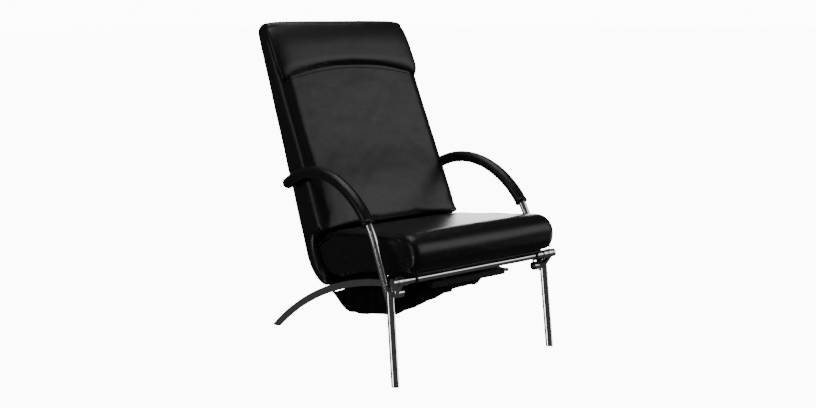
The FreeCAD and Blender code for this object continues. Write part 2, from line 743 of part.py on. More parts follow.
def back_plan(inset):
    """The back's outline from the front, a little narrower at the top, as a deep prism."""
    low = BACK_HALF_LOW - inset
    top = BACK_HALF_TOP - inset
    foot_z, head_z = BACK_PLAN_Z
    corners = [
        (-low, foot_z),
        (low, foot_z),
        (low, BACK_TAPER_START_Z),
        (top, head_z),
        (-top, head_z),
        (-low, BACK_TAPER_START_Z),
    ]
    points = [FreeCAD.Vector(x, PIVOT[0] - CUT_REACH, z) for x, z in corners]
    face = Part.Face(Part.makePolygon(points + points[:1]))
    return face.extrude(FreeCAD.Vector(0, 3 * CUT_REACH, 0))


def back_shell():
    """The rear half of the back, wrapping round under the seat's rear to a thin lip."""
    lean = math.tan(math.radians(BACK_LEAN))
    tangent = polar(PIVOT, WRAP_OUTER_R, BACK_LEAN)
    rear_top = (tangent[0] + lean * (SHELL_REAR_TOP_Z - tangent[1]), SHELL_REAR_TOP_Z)
    front_low, front_high = ((split_y(z), z) for z in SHELL_FRONT_Z)
    inner = [polar(PIVOT, WRAP_INNER_R, angle) for angle in SHELL_INNER_ANGLES]
    lip_start = polar(PIVOT, *SHELL_LIP_START)
    lip_outer = polar(PIVOT, WRAP_OUTER_R, WRAP_LIP_ANGLE)
    lip_inner = polar(PIVOT, WRAP_LIP_INNER_R, WRAP_LIP_ANGLE)
    lip_tip = polar(PIVOT, (WRAP_OUTER_R + WRAP_LIP_INNER_R) / 2, WRAP_LIP_ANGLE + LIP_TIP_TURN)
    outer = polar(PIVOT, WRAP_OUTER_R, SHELL_OUTER_ANGLE)
    top_rear = (rear_top[0] - SHELL_TOP_REACH[0], SHELL_TOP_Z[0])
    top_front = (front_high[0] + SHELL_TOP_REACH[1], SHELL_TOP_Z[1])
    steps = [front_low, tuple(inner), (lip_start, lip_inner), (lip_tip, lip_outer), (outer, tangent)]
    steps += [rear_top, (top_rear, top_front)]
    body = slab(front_high, steps, (-BACK_HALF_LOW, BACK_HALF_LOW))
    return body.common(back_plan(0)).Solids[0]


def arm_pocket(side):
    """Room in the back's cushion for a recline arm beside the board."""
    top_z = ARM_POCKET_TOP
    top = [(split_y(top_z), top_z), (split_y(top_z, ARM_POCKET_DEPTH), top_z)]
    x_range = sided(side, (BACK_BOARD_HALF, ARM_X[1] + ARM_POCKET_CLEARANCE))
    return slab(ARM_POCKET_FOOT[0], ARM_POCKET_FOOT[1:] + top + ARM_POCKET_FRONT, x_range)


def back_cushion():
    rear = [(split_y(z, BOARD_GAP + 1), z) for z in reversed(BACK_CUSHION_REAR_Z)]
    body = slab(BACK_CUSHION_FOOT, [BACK_CUSHION_TOP] + rear, (-BACK_HALF_LOW, BACK_HALF_LOW))
    body = body.common(back_plan(BACK_CUSHION_INSET))
    for side in SIDES.values():
        body = body.cut(arm_pocket(side))
        beside = sided(side, (BACK_BOARD_HALF, BACK_HALF_LOW))
        body = body.cut(box(beside, SHELL_POCKET_Y, SHELL_POCKET_Z))
    return max(body.Solids, key=lambda solid: solid.Volume)


def headrest_pillow():
    foot_z, rear_z, top_z = PILLOW_REAR_Z
    top = (PILLOW_TOP_MIDDLE, (split_y(top_z, PILLOW_TOP_GAP), top_z))
    rear = [(split_y(z, BOARD_GAP + 1), z) for z in (rear_z, foot_z)]
    body = slab(PILLOW_FOOT, [PILLOW_FRONT, top] + rear, (-BACK_HALF_LOW, BACK_HALF_LOW))
    return body.common(back_plan(BACK_CUSHION_INSET / 2)).Solids[0]


def pull_tab(side):
    """A small folded fabric tab sewn into the rear edge of the back."""
    return box(sided(side, TAB_X), TAB_Y, TAB_Z).cut(back_shell()).Solids[0]


def both(make):
    """Left and right pieces kept as separate solids of one node."""
    return Part.makeCompound([make(side) for side in SIDES.values()])


def parts():
    shapes = {}
    for name, side in SIDES.items():
        shapes["front_leg_" + name] = front_leg(side)
        shapes["arm_tube_" + name] = arm_tube(side)
        shapes["rear_leg_" + name] = rear_leg(side)
        shapes["arm_sleeve_" + name] = arm_sleeve(side)
        shapes["pivot_lug_" + name] = pivot_lug(side)
        shapes["hanger_" + name] = hanger(side)
        shapes["seat_rail_" + name] = seat_rail(side)
        shapes["hinge_plate_" + name] = hinge_plate(side)
        shapes["seat_side_panel_" + name] = side_panel(side)
        shapes["recline_arm_" + name] = recline_arm(side)
    shapes["front_foot_glides"] = both(front_glide)
    shapes["rear_foot_pads"] = both(rear_pad)
    shapes["lug_bolts"] = both(lug_bolt)
    shapes["bearing_bushes"] = both(bearing_bush)
    shapes["friction_washers"] = Part.makeCompound(washers(LEFT) + washers(RIGHT))
    shapes["stop_screws"] = both(stop_screw)
    shapes["stop_buffers"] = both(stop_buffer)
    shapes["crossbar"] = crossbar()
    shapes["bar_collars"] = both(bar_collar)
    shapes["bar_end_rings"] = both(bar_end_ring)
    shapes["seat_board"] = seat_board()
    shapes["front_cross_member"] = cross_member(FRONT_MEMBER_SPAN)
    shapes["rear_cross_member"] = cross_member(REAR_MEMBER_SPAN)
    shapes["seat_cushion"] = seat_cushion()
    shapes["dust_cover"] = dust_cover()
    shapes["gas_spring_cylinder"] = gas_cylinder()
    shapes["valve_block"] = valve_block()
    shapes["spring_bracket"] = spring_bracket()
    shapes["mechanism_housing"] = mechanism_housing()
    shapes["housing_posts"] = both(housing_post)
    shapes["release_cable"] = release_cable()
    shapes["lever_shaft"] = lever_shaft()
    shapes["release_lever"] = release_lever()
    shapes["gas_spring_rod"] = gas_rod()
    shapes["rod_fork"] = rod_fork()
    shapes["recline_shaft"] = recline_shaft()
    shapes["shaft_nuts"] = both(shaft_nut)
    shapes["recline_crank"] = recline_crank()
    shapes["crank_pin"] = crank_pin()
    shapes["back_board"] = back_board()
    shapes["back_shell"] = back_shell()
    shapes["back_cushion"] = back_cushion()
    shapes["headrest_pillow"] = headrest_pillow()
    shapes["pull_tab"] = pull_tab(RIGHT)
    return shapes


def main():
    os.makedirs("parts", exist_ok=True)
    for name, shape in parts().items():
        placed = shape.copy()
        placed.translate(FreeCAD.Vector(0, -CENTRE_Y, 0))
        placed.exportStep(os.path.join("parts", name + ".step"))


main()
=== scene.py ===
import json
import math

import bpy
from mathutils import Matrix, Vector, noise
from mathutils.bvhtree import BVHTree


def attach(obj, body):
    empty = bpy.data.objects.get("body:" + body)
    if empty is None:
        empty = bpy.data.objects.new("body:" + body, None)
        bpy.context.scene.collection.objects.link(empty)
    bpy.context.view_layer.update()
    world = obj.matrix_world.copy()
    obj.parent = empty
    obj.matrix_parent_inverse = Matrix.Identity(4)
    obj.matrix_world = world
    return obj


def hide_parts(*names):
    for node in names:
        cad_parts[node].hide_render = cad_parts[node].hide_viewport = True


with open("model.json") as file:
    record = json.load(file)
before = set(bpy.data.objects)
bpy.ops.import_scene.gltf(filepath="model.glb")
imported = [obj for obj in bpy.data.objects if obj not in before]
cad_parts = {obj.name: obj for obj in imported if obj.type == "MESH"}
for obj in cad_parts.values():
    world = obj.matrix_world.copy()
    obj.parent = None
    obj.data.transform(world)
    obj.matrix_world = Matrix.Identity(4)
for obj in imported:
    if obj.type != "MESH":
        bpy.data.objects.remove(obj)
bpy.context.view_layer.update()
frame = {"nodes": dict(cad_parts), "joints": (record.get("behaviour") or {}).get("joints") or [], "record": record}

# Side-view points are (y, z) in mm from the front feet, as the chair is drawn. The crossbar places them.
MM = 0.001
JOINTS = {joint["name"]: joint for joint in frame["joints"]}
BAR_Y = 3.0
FEET_Y = JOINTS["seat_tilt"]["pos_m"][1] - BAR_Y * MM
PIVOT = (450.0, 350.0)
SIDES = {"left": 1, "right": -1}

# Meshes: spacing along outlines in mm, and steps round an edge, across a flat and between curve points.
OUTLINE_STEP = 8.0
EDGE_STEPS = 10
FLAT_STEPS = 16
CURVE_STEPS = {"seat_nose": 6, "panel": 8, "back_top": 5, "cover": 7}

# Upholstery: mesh spacing (mm), rounds of smoothing, pressure, and greatest swell and ripple (mm).
SEAT_STUFFING = {"voxel": 5.5, "rounds": 10, "pressure": 2.0, "cap": 2.5, "height": 0.5}
PANEL_STUFFING = {"voxel": 4.0, "rounds": 3, "pressure": 1.0, "cap": 0.9, "height": 0.3}
BACK_STUFFING = {"voxel": 6.0, "rounds": 8, "pressure": 2.5, "cap": 5.0, "height": 1.3}
PILLOW_STUFFING = {"voxel": 5.0, "rounds": 4, "pressure": 2.0, "cap": 3.0, "height": 0.6}
RELAX_STRENGTH = 0.5
SETTLE_ROUNDS = 6

# The share of the swell that side faces lose, and how far in mm any point may sink.
SIDE_HOLD = 0.85
DRAW_IN = 0.5
CLOTH_FRAMES = 20

# Ripples: their width in mm, then the finer set's width and height as shares of the first.
RIPPLE_SPREAD = 85.0
FINE_RIPPLE = (0.45, 0.4)

# Seat
SEAT_HALF = 289.0
SEAT_EDGE_R = 20.0
SEAT_CROWN = 4.0
SEAT_FLAT_RISE = 40.0
SEAT_NOSE = [(-24, 353), (-42, 368), (-53, 400), (-46, 434), (-20, 459), (14, 466)]
SEAT_TOP = [(60, 458), (240, 431), (400, 407), (440, 400), (452, 390), (452, 372), (424, 366)]
# The underside: (y, height over the board's top).
SEAT_FOOT = [(386, 2), (6, 2), (4, -16), (-14, -16)]
BOARD_FRONT_Z = 366.0
BOARD_SLOPE = math.tan(math.radians(8.7))
PANEL_TOP = [
    (-26, 356), (-12, 392), (2, 424), (22, 441), (56, 446), (142, 438),
    (229, 429), (335, 411), (404, 394), (470, 368), (512, 339),
]
PANEL_BOTTOM = [(506, 326), (488, 290), (460, 260), (440, 255), (368, 259), (264, 294), (161, 317), (60, 337)]
# Across the panel: (x from the chair's middle, how far the outline draws in).
PANEL_RINGS = [(270.0, 6.0), (270.0, 0.5), (277.0, 0.0), (281.0, 1.5), (286.0, 5.0)]
PIPING_X = 286.5
PIPING_R = 2.4
PIPING_SHIFT = (-1.0, 2.0)
HEM_HALF = 262
HEM_STEP = 8
HEM_SPOT = (-17.0, 347.5)
HEM_TURN = 3.0
HEM_R = 4.5

# Back
BACK_HALF_LOW = 298.0
BACK_HALF_TOP = 297.0
BACK_TAPER_Z = (400.0, 1090.0)
BACK_EDGE_R = 26.0
BACK_REAR_EDGE_R = 14.0
BACK_LIP_EDGE_R = 11.0
# Where the full front edge fades out behind the front face and at its foot: (place, width of the change).
FRONT_EDGE_DEPTH = (50.0, 40.0)
FRONT_EDGE_Z = (395.0, 30.0)
LIP_EDGE_Z = 330.0
BACK_LEAN = 28.4
BACK_FOOT = (463, 400)
BACK_FRONT_Z = (600, 800, 1010)
BACK_REAR_Z = (1048, 700)
BACK_TOP = [(804, 1038), (826, 1068), (852, 1082), (880, 1082), (901, 1070)]
BACK_INNER_END = (506, 382)
BACK_CROWN = 4.0
BACK_CROWN_Z = 405.0
BACK_CROWN_DEPTH = 20.0
LUMBAR_CROWN = 15.0
LUMBAR_Z = 500.0
LUMBAR_REACH = 110.0
# The wrap under the seat: radii about the pivot, and angles in degrees below the rear horizontal.
WRAP_OUTER_R = 142.0
WRAP_INNER_R = 84.0
WRAP_LIP_INNER_R = 107.0
WRAP_LIP_ANGLE = 86.0
WRAP_LIP_ROUND = 6.0
WRAP_LIP_TURN = (3.0, 4.5)
WRAP_THIN_FROM = 35.0
WRAP_FRONT_ANGLE = -25
WRAP_STEP = -8
REAR_LEAN = 23.2
# Where the pillow's lower seam ends at the back's edges.
SEAM_FOOT = (725.0, 887.0)
PILLOW_ARCH = 43.0
PILLOW_HEIGHT = 24.0
PILLOW_LENGTH = 214.0
PILLOW_CORNER = 13.0
# Where the ends begin to draw in above and below, and the height over which they do it.
PILLOW_HIGH_CORNER = (1040.0, 50.0)
PILLOW_LOW_CORNER = (932.0, 45.0)
PILLOW_LOW_SHARE = 1.1
PILLOW_WIDTH_Z = 1000.0
PILLOW_OVERHANG = 3.0
PILLOW_STATIONS = 48
PILLOW_TOP = [(826, 1089), (846, 1093), (872, 1090), (892, 1083)]
PILLOW_INNER_TOP = [(880, 1068), (842, 1040)]
PILLOW_TOP_DROP = 9.0
PILLOW_DEPTH = 18.0
PILLOW_INNER_PLACES = (0.8, 0.5, 0.2, 0.05)
PILLOW_FRONT_POINTS = 18
PILLOW_END_SHARE = 0.25
PILLOW_FILL_BY = 0.24
PILLOW_LEAN_BACK = 12.0
PILLOW_SINK = 1.0
PILLOW_SEAM_R = 1.6
PILLOW_SEAM_Z = 900.0
PILLOW_SEAM_INSET = 12.0
PILLOW_SEAM_DROP = 1.5
PILLOW_SEAM_SINK = 0.2
PILLOW_SEAM_POINTS = 60
RAY_REACH = 80.0

# Arms: an arc about the centre that tightens at the knee in front. Slopes are in degrees.
ARM_X = 319.0
ARM_CENTRE = (437.0, 205.0)
ARM_TOP_R = 400.0
ARM_REAR_SLOPE = 32.9
ARM_KNEE_SLOPE = 37.0
ARM_KNEE_R = 275.0
ARM_POINTS = 90
SLEEVE_KNEE_TURN = 13.7
SLEEVE_R = 19.6
SLEEVE_DOME = 15.0
SLEEVE_DOME_RINGS = 8
SLEEVE_TIP_SHARE = 0.02
SLEEVE_RIPPLE = 0.45
SLEEVE_RIPPLE_SPREAD = 40.0
SLEEVE_SEAM_R = 0.9
SLEEVE_SEAM_LIFT = 0.1
SLEEVE_SEAM_WAY = (0.75, 0.66)
# The rolled cuff: (distance past the sleeve's end, radius).
CUFF = [
    (-11.0, 19.4), (-9.8, 20.6), (-7.0, 21.4), (-3.2, 21.5),
    (-0.6, 20.4), (0.6, 18.0), (0.3, 15.0), (-1.2, 12.8),
]

# Dust cover
COVER_FRONT = [(78, 322), (77, 300), (79, 276), (86, 254), (104, 238), (130, 220)]
COVER_BELLY = [(165, 195), (205, 170), (250, 151), (300, 142), (350, 141), (400, 150), (440, 172), (464, 203)]
COVER_FLOOR_SHARE = 0.66
COVER_CORNER_R = 28.0
COVER_COLUMNS = 150
COVER_THICKNESS = 1.2
COVER_TOP_DROP = 16.0
COVER_FRONT_Y = 80.0
COVER_WALL_Y = 330.0
COVER_OPEN_Y = 396.0
COVER_REAR_R = 146.0
# Half width in front and in full, and the y where it is full at the sitter's left and right.
COVER_HALF = (160.0, 261.0)
COVER_FULL_WIDTH_Y = (300.0, 135.0)
# How much higher it hangs at the left, and how much lower at the right in front and at the rear.
COVER_LIFT = 50.0
COVER_DROP = (34.0, 15.0)
COVER_FOOT_LEFT = 0.55
# Where each of those begins or ends in y and across, and over what width.
COVER_DROP_FROM = (80.0, 40.0)
COVER_DROP_TO = (235.0, 110.0)
COVER_REAR_DROP_FROM = (320.0, 60.0)
COVER_LIFT_FROM = (100.0, 60.0)
COVER_LIFT_TO = (400.0, 130.0)
COVER_RIGHT_EDGE = (0.1, 0.5)
COVER_LEFT_EDGE = (0.25, 0.7)
# Rounding where the belly turns up into the side walls, and the strips by the hems that hang straight.
COVER_CORNER_SPREAD = 0.09
COVER_CORNER_CUT = 0.30
COVER_HEM_SHARE = 0.06
# Folds in mm: two sizes of sag (spacing in x and y, seed), then inset, pleats and sag of the walls.
COVER_SAG_SPREAD = ((90, 70, 3.1), (38, 30, 7.7))
COVER_WALL_WAVES = (1.5, 2.6, 3.0)
# Sag and drape of the belly.
COVER_BELLY_WAVES = (3.5, 1.6)
COVER_BELLY_SAG = 6.0
COVER_PLEAT_PITCH = 9.5
COVER_PLEAT_WANDER = 2.5
COVER_DRAPE_PITCH = 16.0
COVER_DRAPE_WANDER = 3.0
COVER_DRAPE_SLANT = 0.6

# Studio: sizes and places of the lights are in metres, the camera's place in mm as the chair is drawn.
FLOOR_SIZE = 60.0
FLOOR_GLOW = 12.0
BACKDROP = 12.0
STUDIO_DARK = 0.05
SOFTBOX = {"place": (-0.2, 0.9, 3.4), "aim": (0, 0.1, 0.4), "size": (3.0, 2.0), "power": 30}
STRIP = {"place": (-2.6, -1.0, 0.9), "aim": (0, 0, 0.5), "size": (0.06, 1.8), "power": 1.1}
CAMERA_PLACE = (-1976.3, -2336.0, 1123.9)
CAMERA_AZIMUTH = -36.03
CAMERA_ELEVATION = 10.96
CAMERA_LENS = 43.50
SENSOR_WIDTH = 36.0
VIEW_DISTANCE = 200.0

# Bright patches of the studio: direction, cosines where a patch begins and is full, and its strength.
GLARES = [
    ((0.60, 0.80, -0.03), (0.93, 0.99), 7.0),
    ((0.58, -0.67, 0.47), (0.89, 0.965), 1.4),
    ((-0.93, 0.30, 0.20), (0.97, 0.995), 1.6),
    ((-0.94, 0.11, -0.27), (0.985, 0.997), 7.0),
    ((0.91, -0.27, -0.27), (0.985, 0.997), 7.0),
]


def at(x, y, z):
    """A point in metres from its x and its side-view point in mm."""
    return Vector((x * MM, FEET_Y + y * MM, z * MM))


def polar(centre, radius, angle_below_rear):
    """A side-view point at an angle below the rear horizontal."""
    angle = math.radians(angle_below_rear)
    return (centre[0] + radius * math.cos(angle), centre[1] - radius * math.sin(angle))


def arc(centre, radius, start, end, count):
    """Side-view points along an arc, its angles measured from the rear horizontal downwards."""
    return [polar(centre, radius, start + (end - start) * i / count) for i in range(count + 1)]


def smooth_line(points, count):
    """A smooth curve through a few side-view points (Catmull-Rom)."""
    line = []
    padded = [points[0]] + list(points) + [points[-1]]
    for i in range(len(points) - 1):
        p0, p1, p2, p3 = (Vector(p) for p in padded[i:i + 4])
        for step in range(count):
            t = step / count
            value = 2 * p1 + (p2 - p0) * t + (2 * p0 - 5 * p1 + 4 * p2 - p3) * t * t
            value += (3 * p1 - p0 - 3 * p2 + p3) * t ** 3
            line.append(tuple(value / 2))
    return line + [tuple(points[-1])]


def smooth_step(value):
    """Eases from 0 to 1 as the value does, and stays at 0 or 1 outside."""
    value = min(max(value, 0.0), 1.0)
    return value * value * (3 - 2 * value)


# Materials


def new_material(name):
    """A new material with its nodes, links and shader."""
    material = bpy.data.materials.new(name)
    material.use_nodes = True
    nodes = material.node_tree.nodes
    return material, nodes, material.node_tree.links, nodes["Principled BSDF"]


def add(nodes, kind, **values):
    """Adds a shader node and sets its inputs and options by name."""
    node = nodes.new(kind)
    for key, value in values.items():
        if key in node.inputs:
            node.inputs[key].default_value = value
        else:
            setattr(node, key, value)
    return node


def coordinates(nodes):
    """The piece's own coordinates, which move with it."""
    return nodes.new("ShaderNodeTexCoord").outputs["Object"]


def ramp(nodes, links, source, low, high, start=0.0, end=1.0):
    """Two colours or greys spread over a texture's values."""
    node = nodes.new("ShaderNodeValToRGB")
    for element, value, place in zip(node.color_ramp.elements, (low, high), (start, end)):
        element.color = (*value, 1) if isinstance(value, tuple) else (value, value, value, 1)
        element.position = place
    links.new(source, node.inputs["Fac"])
    return node.outputs["Color"]


def bump(nodes, links, bsdf, height, strength, distance, under=None):
    """Raises the surface by a texture, over an earlier bump if there is one."""
    node = add(nodes, "ShaderNodeBump", Strength=strength, Distance=distance)
    links.new(height, node.inputs["Height"])
    if under is not None:
        links.new(under, node.inputs["Normal"])
    links.new(node.outputs["Normal"], bsdf.inputs["Normal"])
    return node.outputs["Normal"]


def leather():
    """Smooth black hide: fine pebbled grain, faint long creases and a soft uneven gloss."""
    material, nodes, links, bsdf = new_material("black_leather_hide")
    place = coordinates(nodes)
    grain = add(nodes, "ShaderNodeTexVoronoi", feature="DISTANCE_TO_EDGE", Scale=620.0)
    hide = add(nodes, "ShaderNodeTexNoise", Scale=26.0, Detail=5.0, Roughness=0.6)
    creases = add(nodes, "ShaderNodeTexNoise", Scale=95.0, Detail=7.0, Roughness=0.7, Distortion=1.2)
    for texture in (grain, hide, creases):
        links.new(place, texture.inputs["Vector"])
    dark, light = (0.0050, 0.0050, 0.0053), (0.0085, 0.0083, 0.0082)
    colour = ramp(nodes, links, hide.outputs["Fac"], dark, light, 0.3, 0.75)
    links.new(colour, bsdf.inputs["Base Color"])
    gloss = ramp(nodes, links, creases.outputs["Fac"], 0.30, 0.40, 0.3, 0.7)
    links.new(gloss, bsdf.inputs["Roughness"])
    bsdf.inputs["Specular IOR Level"].default_value = 0.58
    first = bump(nodes, links, bsdf, creases.outputs["Fac"], 0.18, 0.0012)
    bump(nodes, links, bsdf, grain.outputs["Distance"], 0.22, 0.0004, first)
    return material


def thread():
    """Black twisted sewing thread."""
    material, nodes, links, bsdf = new_material("seam_thread")
    place = coordinates(nodes)
    twist = add(nodes, "ShaderNodeTexNoise", Scale=900.0, Detail=2.0)
    links.new(place, twist.inputs["Vector"])
    colour = ramp(nodes, links, twist.outputs["Fac"], (0.006, 0.006, 0.006), (0.016, 0.016, 0.017))
    links.new(colour, bsdf.inputs["Base Color"])
    bsdf.inputs["Roughness"].default_value = 0.6
    bump(nodes, links, bsdf, twist.outputs["Fac"], 0.4, 0.0004)
    return material


def chrome():
    """Polished chrome plate with the faintest drawing marks and haze."""
    material, nodes, links, bsdf = new_material("polished_chrome")
    place = coordinates(nodes)
    haze = add(nodes, "ShaderNodeTexNoise", Scale=40.0, Detail=4.0)
    marks = add(nodes, "ShaderNodeTexNoise", Scale=700.0, Detail=2.0)
    for texture in (haze, marks):
        links.new(place, texture.inputs["Vector"])
    colour = ramp(nodes, links, haze.outputs["Fac"], (0.70, 0.71, 0.72), (0.78, 0.79, 0.80), 0.35, 0.65)
    links.new(colour, bsdf.inputs["Base Color"])
    gloss = ramp(nodes, links, haze.outputs["Fac"], 0.07, 0.12, 0.35, 0.7)
    links.new(gloss, bsdf.inputs["Roughness"])
    bsdf.inputs["Metallic"].default_value = 1.0
    bump(nodes, links, bsdf, marks.outputs["Fac"], 0.006, 0.0001)
    return material


def turned_steel():
    """Bright steel with fine turning rings."""
    material, nodes, links, bsdf = new_material("turned_steel")
    place = coordinates(nodes)
    rings = add(nodes, "ShaderNodeTexWave", bands_direction="X", Scale=260.0, Distortion=0.6, Detail=2.0)
    links.new(place, rings.inputs["Vector"])
    colour = ramp(nodes, links, rings.outputs["Fac"], (0.56, 0.57, 0.58), (0.72, 0.73, 0.74))
    links.new(colour, bsdf.inputs["Base Color"])
    gloss = ramp(nodes, links, rings.outputs["Fac"], 0.18, 0.30)
    links.new(gloss, bsdf.inputs["Roughness"])
    bsdf.inputs["Metallic"].default_value = 1.0
    bump(nodes, links, bsdf, rings.outputs["Fac"], 0.08, 0.0002)
    return material


def powder_coat():
    """Black powder coat with a fine orange peel, a little duller in places."""
    material, nodes, links, bsdf = new_material("black_powder_coat")
    place = coordinates(nodes)
    peel = add(nodes, "ShaderNodeTexNoise", Scale=520.0, Detail=3.0)
    wear = add(nodes, "ShaderNodeTexNoise", Scale=30.0, Detail=5.0)
    for texture in (peel, wear):
        links.new(place, texture.inputs["Vector"])
    colour = ramp(nodes, links, wear.outputs["Fac"], (0.010, 0.010, 0.011), (0.020, 0.020, 0.021))
    links.new(colour, bsdf.inputs["Base Color"])
    gloss = ramp(nodes, links, wear.outputs["Fac"], 0.42, 0.58)
    links.new(gloss, bsdf.inputs["Roughness"])
    bump(nodes, links, bsdf, peel.outputs["Fac"], 0.25, 0.0003)
    return material


def moulded(name, dark, rough):
    """Moulded plastic or rubber with a spark-eroded texture."""
    material, nodes, links, bsdf = new_material(name)
    place = coordinates(nodes)
    texture = add(nodes, "ShaderNodeTexNoise", Scale=850.0, Detail=3.0)
    tone = add(nodes, "ShaderNodeTexNoise", Scale=45.0, Detail=3.0)
    for source in (texture, tone):
        links.new(place, source.inputs["Vector"])
    colour = ramp(nodes, links, tone.outputs["Fac"], (dark, dark, dark), (1.6 * dark, 1.6 * dark, 1.6 * dark))
    links.new(colour, bsdf.inputs["Base Color"])
    gloss = ramp(nodes, links, tone.outputs["Fac"], rough, rough + 0.12)
    links.new(gloss, bsdf.inputs["Roughness"])
    bump(nodes, links, bsdf, texture.outputs["Fac"], 0.3, 0.0003)
    return material


def lining_cloth():
    """Black woven lining: a fine cross weave with a dry sheen."""
    material, nodes, links, bsdf = new_material("black_lining_cloth")
    place = coordinates(nodes)
    heights = []
    for direction in ("X", "Y"):
        wave = add(nodes, "ShaderNodeTexWave", bands_direction=direction, Scale=300.0, Distortion=0.8)
        links.new(place, wave.inputs["Vector"])
        heights.append(wave.outputs["Fac"])
    weave = add(nodes, "ShaderNodeMath", operation="MAXIMUM")
    links.new(heights[0], weave.inputs[0])
    links.new(heights[1], weave.inputs[1])
    tone = add(nodes, "ShaderNodeTexNoise", Scale=22.0, Detail=4.0)
    links.new(place, tone.inputs["Vector"])
    dark, light = (0.0012, 0.0012, 0.0014), (0.0032, 0.0032, 0.0034)
    colour = ramp(nodes, links, tone.outputs["Fac"], dark, light, 0.3, 0.7)
    links.new(colour, bsdf.inputs["Base Color"])
    bsdf.inputs["Roughness"].default_value = 0.82
    bsdf.inputs["Specular IOR Level"].default_value = 0.2
    bsdf.inputs["Sheen Weight"].default_value = 0.03
    bsdf.inputs["Sheen Roughness"].default_value = 0.5
    bump(nodes, links, bsdf, weave.outputs["Value"], 0.5, 0.0005)
    return material


def plywood():
    """Black-stained plywood with faint figure and plies."""
    material, nodes, links, bsdf = new_material("black_stained_plywood")
    place = coordinates(nodes)
    figure = add(nodes, "ShaderNodeTexWave", bands_direction="Y", Scale=12.0, Distortion=6.0, Detail=4.0)
    plies = add(nodes, "ShaderNodeTexWave", bands_direction="Z", Scale=160.0, Distortion=0.3, Detail=1.0)
    for texture in (figure, plies):
        links.new(place, texture.inputs["Vector"])
    light = ramp(nodes, links, figure.outputs["Fac"], (0.012, 0.010, 0.008), (0.022, 0.018, 0.014))
    mix = add(nodes, "ShaderNodeMix", data_type="RGBA", blend_type="MULTIPLY")
    mix.inputs["Factor"].default_value = 0.35
    links.new(light, mix.inputs[6])
    links.new(ramp(nodes, links, plies.outputs["Fac"], (0.55, 0.42, 0.30), (1.0, 1.0, 1.0)), mix.inputs[7])
    links.new(mix.outputs[2], bsdf.inputs["Base Color"])
    bsdf.inputs["Roughness"].default_value = 0.6
    bump(nodes, links, bsdf, figure.outputs["Fac"], 0.15, 0.0004)
    return material


def pale_floor():
    """A pale sweep bright enough to read as a white studio floor."""
    material, nodes, links, bsdf = new_material("pale_floor")
    place = coordinates(nodes)
    tone = add(nodes, "ShaderNodeTexNoise", Scale=1.2, Detail=2.0)
    links.new(place, tone.inputs["Vector"])
    colour = ramp(nodes, links, tone.outputs["Fac"], (0.90, 0.90, 0.90), (0.92, 0.92, 0.92))
    links.new(colour, bsdf.inputs["Base Color"])
    links.new(colour, bsdf.inputs["Emission Color"])
    bsdf.inputs["Emission Strength"].default_value = FLOOR_GLOW
    bsdf.inputs["Roughness"].default_value = 0.8
    bsdf.inputs["Specular IOR Level"].default_value = 0.1
    return material


LEATHER = leather()
THREAD = thread()
CLOTH = lining_cloth()
SLOT_MATERIALS = {
    "chromed_steel": chrome(),
    "bright_washer": turned_steel(),
    "black_steel": powder_coat(),
    "black_leather": LEATHER,
    "black_cloth": CLOTH,
    "black_plastic": moulded("satin_black_plastic", 0.012, 0.42),
    "black_rubber": moulded("matt_black_rubber", 0.010, 0.72),
    "plywood": plywood(),
}


def dress_cad_nodes():
    """Gives every carried-over node the material of its slot."""
    slots = {entry["node"]: entry["material_slot"] for entry in frame["record"]["subparts"]}
    for name, node in frame["nodes"].items():
        node.data.materials.clear()
        node.data.materials.append(SLOT_MATERIALS[slots[name]])


# Mesh building


def make_object(name, points, faces, material, smooth=True):
    """A new piece from points in metres."""
    mesh = bpy.data.meshes.new(name)
    mesh.from_pydata([tuple(point) for point in points], [], faces)
    mesh.validate()
    mesh.update()
    mesh.materials.append(material)
    if smooth:
        mesh.shade_smooth()
    piece = bpy.data.objects.new(name, mesh)
    bpy.context.scene.collection.objects.link(piece)
    return piece


def bake_modifiers(piece):
    """Writes what the modifiers make into the mesh and removes them."""
    bpy.context.view_layer.update()
    shaped = piece.evaluated_get(bpy.context.evaluated_depsgraph_get())
    mesh = bpy.data.meshes.new_from_object(shaped)
    piece.modifiers.clear()
    old = piece.data
    piece.data = mesh
    bpy.data.meshes.remove(old)
    piece.data.shade_smooth()


def remesh(piece, voxel):
    """Covers the form with even faces about voxel mm across."""
    change = piece.modifiers.new("even_mesh", "REMESH")
    change.mode = "VOXEL"
    change.voxel_size = voxel * MM
    bake_modifiers(piece)


def relax(piece, rounds):
    """Smooths the form, which rounds its corners."""
    change = piece.modifiers.new("relax", "SMOOTH")
    change.factor = RELAX_STRENGTH
    change.iterations = rounds
    bake_modifiers(piece)


def inflate(piece, pressure, cap):
    """Blows the skin up against its own stretch, as foam fills a cover. cap limits the swell in mm."""
    start = [(vertex.co.copy(), vertex.normal.copy()) for vertex in piece.data.vertices]
    cloth = piece.modifiers.new("cloth", "CLOTH")
    cloth.settings.quality = 4
    cloth.settings.mass = 0.35
    cloth.settings.tension_stiffness = 25
    cloth.settings.compression_stiffness = 25
    cloth.settings.bending_stiffness = 2.5
    cloth.settings.use_pressure = True
    cloth.settings.uniform_pressure_force = pressure
    cloth.settings.effector_weights.gravity = 0
    cloth.collision_settings.use_collision = False
    cloth.point_cache.frame_start = 1
    cloth.point_cache.frame_end = CLOTH_FRAMES
    for number in range(1, CLOTH_FRAMES + 1):
        bpy.context.scene.frame_set(number)
    shaped = piece.evaluated_get(bpy.context.evaluated_depsgraph_get())
    ends = [vertex.co.copy() for vertex in shaped.data.vertices]
    piece.modifiers.clear()
    bpy.context.scene.frame_set(1)
    for vertex, (before, normal), after in zip(piece.data.vertices, start, ends):
        limit = cap * (1 - SIDE_HOLD * abs(normal.x))
        rise = min(max((after - before).dot(normal) / MM, -DRAW_IN), limit)
        vertex.co = before + normal * rise * MM
    piece.data.update()


